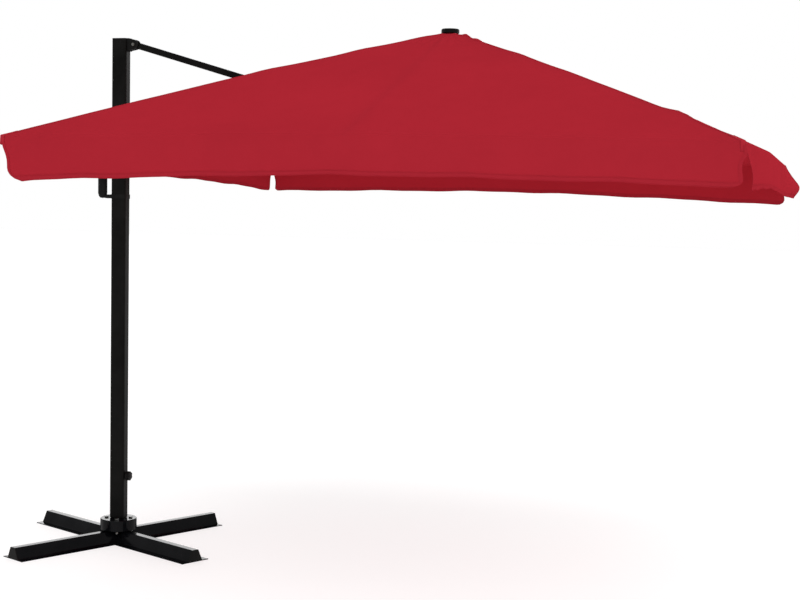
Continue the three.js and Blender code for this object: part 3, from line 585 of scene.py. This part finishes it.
CANVAS = cloth_material()
TAPE = webbing_material()
FRAME_COAT = coat_material("mast_powder_coat", (0.0038, 0.0038, 0.0034), 0.34, 1400, 0.5, 0.05)
BASE_COAT = coat_material("base_gloss_paint", (0.0012, 0.0014, 0.0022), 0.12, 500, 0.6, 0.02, 0.16)
BLACK_PLASTIC = plastic_material("black_moulding", (0.0042, 0.0042, 0.0040), 0.44, 1800)
BEARING = plastic_material("bearing_moulding", (0.013, 0.013, 0.014), 0.42, 1200)
STEEL = steel_material()
FINISHES = {
    "base_coat": BASE_COAT, "frame_coat": FRAME_COAT, "black_plastic": BLACK_PLASTIC,
    "bearing_plastic": BEARING, "bolt_steel": STEEL, "canopy_cloth": CANVAS,
}


def finish_cad_nodes():
    for row in frame["record"]["subparts"]:
        node = frame["nodes"][row["node"]]
        for place in node.material_slots:
            place.material = FINISHES[row["material_slot"]]


# ---- Canopy pieces ------------------------------------------------------------------------------------

def spoke_body(spoke):
    return "boom" if spoke == HIDDEN_SPOKE else "rib_%d" % spoke


def fold_with_rib(piece):
    """Gives a piece of cloth its own copy of its mesh."""
    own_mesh(piece)


def pick(cloth, normals, wanted):
    """Points, faces, marks and normals of the faces wanted, numbered anew."""
    chosen = [i for i in range(len(cloth.faces)) if wanted(i)]
    used = sorted({n for i in chosen for n in cloth.faces[i]})
    renumber = {n: k for k, n in enumerate(used)}
    points, own = [cloth.points[n] for n in used], [normals[n] for n in used]
    faces = [[renumber[n] for n in cloth.faces[i]] for i in chosen]
    return points, faces, [cloth.marks[i] for i in chosen], own


SLOT_X = (middle("strut_bolt_boom").x - 0.098, middle("strut_bolt_boom").x + 0.118)  # the strut's opening
SLOT_HALF = 0.04
NOTCH_HALF = 0.036  # the opening in the valance that the boom passes
NOTCH_TOP = MID_Z - 0.006


def slot_outline(step=0.012):
    """The strut's opening in plan: a long hole with round ends."""
    left, right = SLOT_X[0] + SLOT_HALF, SLOT_X[1] - SLOT_HALF
    count = max(int((right - left) / step), 2)
    ring = [(left + (right - left) * i / count, -SLOT_HALF) for i in range(count)]
    ring += [(right + SLOT_HALF * math.sin(a), -SLOT_HALF * math.cos(a)) for a in np.linspace(0, math.pi, 9)]
    ring += [(right - (right - left) * i / count, SLOT_HALF) for i in range(1, count)]
    ring += [(left - SLOT_HALF * math.sin(a), SLOT_HALF * math.cos(a)) for a in np.linspace(0, math.pi, 9)]
    return ring


def in_slot(x, y):
    nearest = min(max(x, SLOT_X[0] + SLOT_HALF), SLOT_X[1] - SLOT_HALF)
    return math.hypot(x - nearest, y) < SLOT_HALF - 0.0002


def cut_openings(piece):
    """Cuts the strut's slot and the boom's notch out of the hidden spoke's share of the cloth."""
    bm = bmesh.new()
    bm.from_mesh(piece.data)
    ring = slot_outline()

    def near_slot(face):
        c = face.calc_center_median()
        return SLOT_X[0] - 0.08 < c.x < SLOT_X[1] + 0.08 and abs(c.y) < 0.11 and c.z > 2.1

    def on_valance(face):
        c = face.calc_center_median()
        return c.z < MID_Z + 0.004 and abs(c.y) < 0.12

    def slice_at(test, point, normal):
        faces = [f for f in bm.faces if test(f)]
        parts = faces + [e for f in faces for e in f.edges] + [v for f in faces for v in f.verts]
        bmesh.ops.bisect_plane(bm, geom=list(set(parts)), plane_co=point, plane_no=normal)

    for (ax, ay), (bx, by) in zip(ring, ring[1:] + ring[:1]):
        along = Vector((bx - ax, by - ay, 0))
        if along.length > 1e-4:
            slice_at(near_slot, (ax, ay, 0), (along.y, -along.x, 0))
    for y in (-NOTCH_HALF, NOTCH_HALF):
        slice_at(on_valance, (0, y, 0), (0, 1, 0))
    slice_at(on_valance, (0, 0, NOTCH_TOP), (0, 0, 1))
    gone = []
    for face in bm.faces:
        c = face.calc_center_median()
        if (near_slot(face) and in_slot(c.x, c.y)) or (abs(c.y) < NOTCH_HALF and c.z < NOTCH_TOP):
            gone.append(face)
    bmesh.ops.delete(bm, geom=gone, context="FACES")
    bm.to_mesh(piece.data)
    bm.free()


def on_crown(cloth, face):
    """Whether a face lies inside the ribs' pivots, where the cloth stays on the crown as the frame folds."""
    return cloth.tags[face][0] + len(ROOF_ROWS) < CROWN_ROWS


def crown_patch(cloth, normals):
    """The middle of the roof, which the crown carries."""
    points, faces, marks, own = pick(cloth, normals, lambda i: on_crown(cloth, i))
    return add_piece("canopy_middle", points, faces, CANVAS, "hub", own, marks)


def cloth_share(cloth, normals, spoke):
    points, faces, marks, own = pick(
        cloth, normals, lambda i: cloth.places[i] == spoke and not on_crown(cloth, i))
    name = "canopy_cloth_%d" % spoke
    shaped = None if spoke == HIDDEN_SPOKE else own
    piece = add_piece(name, points, faces, CANVAS, spoke_body(spoke), shaped, marks)
    if spoke == HIDDEN_SPOKE:
        cut_openings(piece)
    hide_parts("canopy_%d" % spoke)
    fold_with_rib(piece)
    return piece


def hem_share(cloth, normals, spoke):
    """The doubled cloth of the valance's hem and of its free ends at the corners."""
    hem_rows = len([r for r in VALANCE_ROWS if r > 1 - HEM / DROP - 1e-6])
    last = len(VALANCE_ROWS) - 1 - hem_rows
    corner = spoke % 2 == 1

    def wanted(i):
        row, column = cloth.tags[i]
        if cloth.places[i] != spoke or row < 0:
            return False
        if spoke == HIDDEN_SPOKE and all(abs(cloth.points[n].y) < NOTCH_HALF + 0.006 for n in cloth.faces[i]):
            return False
        return row > last or (corner and row > 0 and column < len(NEAR_SEAM) - 1)

    points, faces, marks, own = pick(cloth, normals, wanted)
    skin, made, made_marks = shell(points, faces, marks, own, outward=-0.0004, inward=0.0018)
    piece = add_piece("canopy_hem_%d" % spoke, skin, made, CANVAS, spoke_body(spoke),
                      marks=made_marks, sharp=40)
    fold_with_rib(piece)
    return piece


def slot_binding():
    """Tape sewn round the strut's opening."""
    ring = [Vector((x, y, roof_z(2, HUB_X - x, -y) + 0.0003)) for x, y in slot_outline(0.02)]
    roof_normal = Vector((-0.33, 0, 0.94))
    points, faces = sweep(ring, [roof_normal] * len(ring), 0.011, 0.0034, closed=True)
    piece = add_piece("slot_binding", points, faces, TAPE, "boom", sharp=50)
    fold_with_rib(piece)
    return piece


def notch_binding():
    """Tape down both edges of the valance's opening for the boom, and across its top."""
    x = HUB_X - HALF - FLARE * 0.4
    low = MID_Z - DROP - hem_low(2, 0.0) + 0.002
    edge = [(x - 0.002, NOTCH_HALF, low), (x + 0.003, NOTCH_HALF, (low + NOTCH_TOP) / 2),
            (x + 0.005, NOTCH_HALF, NOTCH_TOP - 0.004), (x + 0.005, NOTCH_HALF - 0.004, NOTCH_TOP)]
    path = [Vector((px, -py, pz)) for px, py, pz in edge] + [Vector(p) for p in reversed(edge)]
    points, faces = sweep(path, [Vector((-1, 0, 0))] * len(path), 0.014, 0.0036)
    piece = add_piece("notch_binding", points, faces, TAPE, "boom", sharp=50)
    fold_with_rib(piece)
    return piece


def corner_pocket(spoke):
    """The folded patch that holds a corner rib's tip, over the roof's corner and down past the rim."""
    off = 0.0014  # how far it stands off the cloth
    widths = (0.0, 0.003, 0.007, 0.012, 0.017)  # from the rib's line
    patch = Sheet(grain=0.0004)
    for side, hand in halves_of(spoke):
        rows = []
        for s in (HALF - 0.045, HALF - 0.03, HALF - 0.015, HALF - 0.005, HALF):
            us = [s - w for w in widths]
            zs = [roof_z(side, s, hand * u) + off for u in us]
            rows.append([(to_world(side, s + off * 0.3, hand * u, z), u, s) for u, z in zip(us, zs)])
        for down in (0.003, 0.012, 0.024, 0.040):
            out = HALF + off + FLARE * down / DROP + 0.001
            us = [HALF - w for w in widths]
            zs = [roof_z(side, HALF, hand * u) - down + off for u in us]
            rows.append([(to_world(side, out, hand * (u + off), z), u, HALF + down) for u, z in zip(us, zs)])
        patch.add_rows(rows, spoke, flip=hand < 0)
    piece = add_piece("corner_pocket_%d" % spoke, patch.points, patch.faces, TAPE, spoke_body(spoke),
                      sharp=60)
    solid = piece.modifiers.new("thickness", "SOLIDIFY")
    solid.thickness = 0.0022
    solid.offset = 1.0
    return piece


RIB_PIVOT_R, RIB_PIVOT_Z = 0.07, 2.564  # where part.mjs hangs the ribs on the crown
RIB_END = 0.012  # how far inside the rim the ribs end
RIB_UNDER = 0.0114  # from the cloth's straight line down to a rib's centreline


def rib_line(spoke):
    """Where a rib's centreline starts and ends, and its direction in plan."""
    corner = spoke % 2 == 1
    a = spoke * math.pi / 4
    outward = Vector((math.cos(a), math.sin(a), 0))
    reach = (HALF - RIB_END) * (math.sqrt(2) if corner else 1)
    share = (HALF - RIB_END) / HALF
    tip_z = PEAK_Z + ((CORNER_Z if corner else MID_Z) - PEAK_Z) * share - RIB_UNDER
    start = Vector((HUB_X, 0, RIB_PIVOT_Z)) + outward * RIB_PIVOT_R
    end = Vector((HUB_X, 0, tip_z)) + outward * reach
    return start, end, outward


def rib_strap(spoke, index, share):
    """A hook-and-loop strap sewn to the cloth and wrapped round the rib."""
    start, end, outward = rib_line(spoke)
    along = (end - start).normalized()
    lateral = Vector((0, 0, 1)).cross(outward)
    up = lateral.cross(-along).normalized()
    centre = start + (end - start) * share
    half_wide, half_high = 0.0085, 0.0094  # just outside the rib's section
    path, facing = [], []
    for k in range(24):
        a = 2 * math.pi * k / 24
        across, rise = rounded_square(a, 5)
        path.append(centre + lateral * (half_wide * across) + up * (half_high * rise))
        facing.append((lateral * math.cos(a) + up * math.sin(a)).normalized())
    points, faces = sweep(path, facing, 0.025, 0.0016, closed=True, steps=8)
    name = "rib_strap_%d_%d" % (spoke, index)
    return add_piece(name, points, faces, TAPE, "rib_%d" % spoke, sharp=50)


def rib_tip(spoke):
    """The plastic plug in a rib's end."""
    start, end, _ = rib_line(spoke)
    profile = [(0.0052, -0.012), (0.0058, -0.011), (0.0058, 0.0), (0.0076, 0.0004), (0.0080, 0.002),
               (0.0078, 0.005), (0.0062, 0.0078), (0.003, 0.0092), (0.0004, 0.0095)]
    points, faces = lathe(profile, end, (end - start).normalized(), 24)
    add_piece("rib_tip_%d" % spoke, points, faces, BLACK_PLASTIC, "rib_%d" % spoke, sharp=35)


def make_canopy():
    cloth = lay_out_cloth()
    normals = cloth.normals()
    for spoke in range(8):
        piece = cloth_share(cloth, normals, spoke)
        with_it = [hem_share(cloth, normals, spoke)]
        if spoke == 0:
            with_it.append(crown_patch(cloth, normals))
        if spoke == HIDDEN_SPOKE:
            with_it += [slot_binding(), notch_binding()]
        else:
            rib_tip(spoke)
            with_it += [rib_strap(spoke, index, share) for index, share in enumerate((0.56, 0.82))]
        if spoke % 2 == 1:
            with_it.append(corner_pocket(spoke))


# ---- Details of the metalwork -------------------------------------------------------------------------

def weld(name, path, radius, body):
    """A bead of fish-scale weld along path."""
    points = []
    sides = 8
    length = sum((path[i + 1] - path[i]).length for i in range(len(path) - 1))
    steps = max(int(length / 0.0016), 4)
    for i in range(steps + 1):
        t = i / steps * (len(path) - 1)
        k = min(int(t), len(path) - 2)
        centre = path[k].lerp(path[k + 1], t - k)
        along = (path[k + 1] - path[k]).normalized()
        side = along.orthogonal().normalized()
        up = along.cross(side)
        scale = 0.86 + 0.16 * math.cos(i * 2 * math.pi / 3)
        swell = radius * scale * min(1.0, (i + 1) / 3, (steps - i + 1) / 3)
        for j in range(sides):
            a = 2 * math.pi * j / sides
            points.append(centre + side * math.cos(a) * swell + up * math.sin(a) * swell)
    add_piece(name, points, tube_faces(steps + 1, sides), BASE_COAT, body, sharp=60)


def base_welds():
    """Fillets where the post stands in its flange."""
    flange_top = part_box("flange_bolt_1")[1].z - 0.0068  # the bolts' tops stand this far above the flange
    post_r = 0.0212
    turns = np.linspace(0, 2 * math.pi, 60)
    ring = [Vector((post_r * math.cos(a), post_r * math.sin(a), flange_top)) for a in turns]
    weld("post_weld", ring, radius=0.0032, body="base")


def knob_cover():
    """A domed disc pressed into the knob's face."""
    low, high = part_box("clamp_knob")
    centre = Vector((high.x, (low.y + high.y) / 2, (low.z + high.z) / 2))
    profile = [(0.0125, -0.002), (0.0125, 0.0004), (0.0118, 0.0012), (0.009, 0.0021), (0.005, 0.0026),
               (0.0006, 0.0028)]
    points, faces = lathe(profile, centre, (1, 0, 0), 36)
    add_piece("knob_cover", points, faces, BEARING, "knob", sharp=40)


def make_details():
    base_welds()
    knob_cover()


# ---- Stage, lights and camera -------------------------------------------------------------------------

def make_stage():
    size = 60.0
    corners = [(-size, -size, 0), (size, -size, 0), (size, size, 0), (-size, size, 0)]
    mesh = bpy.data.meshes.new("studio_floor")
    mesh.from_pydata(corners, [], [(0, 1, 2, 3)])
    floor = bpy.data.objects.new("studio_floor", mesh)
    bpy.context.scene.collection.objects.link(floor)
    m = Shader("pale_floor", (0.45, 0.45, 0.45), 0.9, specular=0.05)
    m.main.inputs["Emission Color"].default_value = (1, 1, 1, 1)
    m.main.inputs["Emission Strength"].default_value = 0.64
    mesh.materials.append(m.material)


def make_lights():
    """An even white room with a long bright window low behind the parasol, and one soft lamp."""
    world = bpy.data.worlds.new("studio")
    bpy.context.scene.world = world
    world.use_nodes = True
    nodes = Nodes(world.node_tree)
    white = (1, 1, 1, 1)

    def band(value, low, full, fall, gone):
        """1 from full to fall, and easing to 0 at low and at gone."""
        rise = nodes.spread(value, low, full, 0.0, 1.0, "SMOOTHSTEP")
        return nodes.math("MINIMUM", rise, nodes.spread(value, fall, gone, 1.0, 0.0, "SMOOTHSTEP"))

    split = nodes.node("SeparateXYZ", Vector=nodes.node("TexCoord").outputs["Generated"])
    low_band = band(split.outputs["Z"], 0.02, 0.16, 0.30, 0.45)
    behind = band(split.outputs["Y"], 0.4, 0.85, 2.0, 3.0)
    level = nodes.spread(nodes.math("MULTIPLY", low_band, behind), 0.0, 1.0, 0.60, 3.2)
    room = nodes.node("Background", Color=white, Strength=level)
    seen = nodes.tree.nodes["Background"]
    nodes.feed(seen.inputs["Color"], white)
    nodes.feed(seen.inputs["Strength"], 1.0)
    rays = nodes.node("LightPath")
    either = nodes.blend(rays.outputs["Is Camera Ray"], room.outputs[0], seen.outputs[0])
    nodes.feed(nodes.tree.nodes["World Output"].inputs[0], either)
    lamp = bpy.data.lights.new("softbox", "SUN")
    lamp.angle = math.radians(60)
    lamp.energy = 1.55
    box = bpy.data.objects.new("softbox", lamp)
    bpy.context.scene.collection.objects.link(box)
    box.rotation_euler = Vector((-0.35, 0.45, -0.85)).to_track_quat("-Z", "Y").to_euler()


def make_camera():
    """The photograph's view: from the front and right of the canopy, a little below its hem."""
    yaw, pitch, roll = math.radians(-17.01), math.radians(-4.515), math.radians(1.18)
    ahead = Vector((math.sin(yaw) * math.cos(pitch), math.cos(yaw) * math.cos(pitch), math.sin(pitch)))
    right = Vector((math.cos(yaw), -math.sin(yaw), 0))
    up = right.cross(ahead)
    right, up = right * math.cos(roll) + up * math.sin(roll), up * math.cos(roll) - right * math.sin(roll)
    data = bpy.data.cameras.new("photo_view")
    data.sensor_width = 36.0
    data.lens = 67.46
    data.shift_x, data.shift_y = 0.0017, 0.0268
    camera = bpy.data.objects.new("photo_view", data)
    bpy.context.scene.collection.objects.link(camera)
    turn = Matrix((right, up, -ahead)).transposed().to_4x4()
    camera.matrix_world = Matrix.Translation((3.638, -6.9645, 1.788)) @ turn
    bpy.context.scene.camera = camera
    bpy.context.scene.view_settings.view_transform = "Standard"


finish_cad_nodes()
make_canopy()
make_details()
make_stage()
make_lights()
make_camera()
